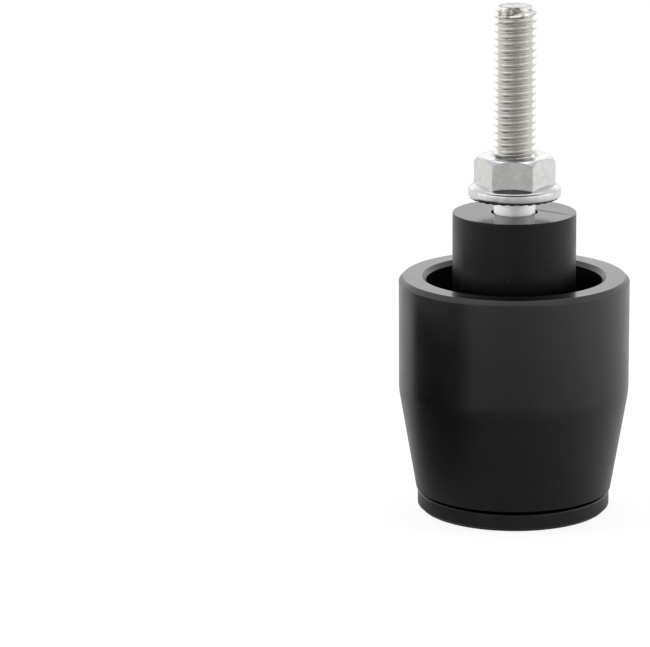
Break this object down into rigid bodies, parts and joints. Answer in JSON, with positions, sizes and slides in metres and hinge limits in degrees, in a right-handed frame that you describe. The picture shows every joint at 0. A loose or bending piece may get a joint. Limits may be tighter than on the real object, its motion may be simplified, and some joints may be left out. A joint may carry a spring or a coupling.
{
  "type": "bar end weight",
  "caption": "Motorbike bar end weight: tapered black cup with an end cap, an inner sleeve for the bore of the handlebar, and a long countersunk bolt with a flange nut.",
  "frame": {"origin": "centre of the end cap's outer face, on the axis of the bolt", "axes": "+Z along the axis, from the end cap towards the tip of the bolt, which goes into the handlebar; +X to the right in the picture and -Y towards its camera"},
  "size_m": [0.032, 0.032, 0.0708],
  "materials": {
    "black_anodised_aluminium": "satin black anodised, finely turned",
    "black_rubber": "smooth satin black",
    "zinc_plated_steel": "bright zinc plated"
  },
  "bodies": {
    "weight": {"weight_body": "black_anodised_aluminium", "end_cap": "black_anodised_aluminium", "inner_sleeve": "black_rubber"},
    "bolt": {"bolt": "zinc_plated_steel"},
    "nut": {"flange_nut": "zinc_plated_steel"}
  },
  "joints": [
    {"name": "bolt_turn", "type": "hinge", "parent": "weight", "child": "bolt", "pos_m": [0, 0, 0], "axis": [0, 0, -1], "range_deg": [0, 7200]},
    {"name": "nut_travel", "type": "slide", "parent": "weight", "child": "nut", "axis": [0, 0, 1], "range_m": [0, 0.02]}
  ],
  "couplings": [
    {"joint": "nut_travel", "follows": "bolt_turn", "m_per_rad": 0.00015915}
  ]
}
